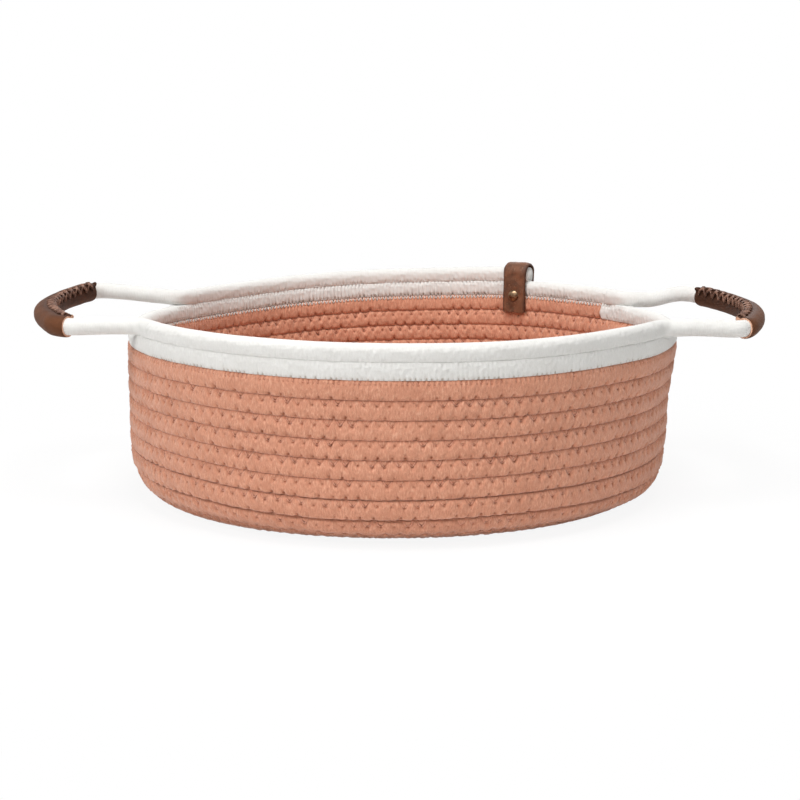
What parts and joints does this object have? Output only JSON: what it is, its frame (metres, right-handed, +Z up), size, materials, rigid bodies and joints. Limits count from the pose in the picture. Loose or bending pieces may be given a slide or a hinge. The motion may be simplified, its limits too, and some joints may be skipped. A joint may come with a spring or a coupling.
{
  "type": "storage basket",
  "caption": "Low round storage basket of coiled cotton rope with a pale rim, rope side handles in laced leather sleeves and a riveted leather tab.",
  "frame": {"origin": "centre of the basket on the surface it rests on", "axes": "+Z up, +X towards the right handle, +Y away from the viewer of the picture"},
  "size_m": [0.4419, 0.3281, 0.1208],
  "materials": {
    "coral_rope": "matt cotton rope, coral",
    "white_rope": "matt cotton rope, off-white",
    "brown_leather": "brown leather, lightly waxed",
    "lace_leather": "dark brown leather lace",
    "bronze": "darkened bronze, polished"
  },
  "bodies": {
    "basket": {"base_coil": "coral_rope", "wall_coil": "coral_rope", "rim_rope_lower": "white_rope", "rim_rope_front": "white_rope", "rim_rope_back": "white_rope", "rim_tab": "brown_leather", "rivet_cap": "bronze", "rivet_back": "bronze"},
    "right_handle": {"right_handle_rope": "white_rope", "right_grip": "brown_leather", "right_lacing": "lace_leather"},
    "left_handle": {"left_handle_rope": "white_rope", "left_grip": "brown_leather", "left_lacing": "lace_leather"}
  },
  "joints": [
    {"name": "right_handle_lift", "type": "hinge", "parent": "basket", "child": "right_handle", "pos_m": [0.13707, 0.00004, 0.10952], "axis": [-0.0003, -1, 0.0058], "range_deg": [0, 85]},
    {"name": "left_handle_lift", "type": "hinge", "parent": "basket", "child": "left_handle", "pos_m": [-0.13707, -0.00004, 0.1115], "axis": [0.0003, 0.9999, 0.0111], "range_deg": [0, 85]}
  ]
}
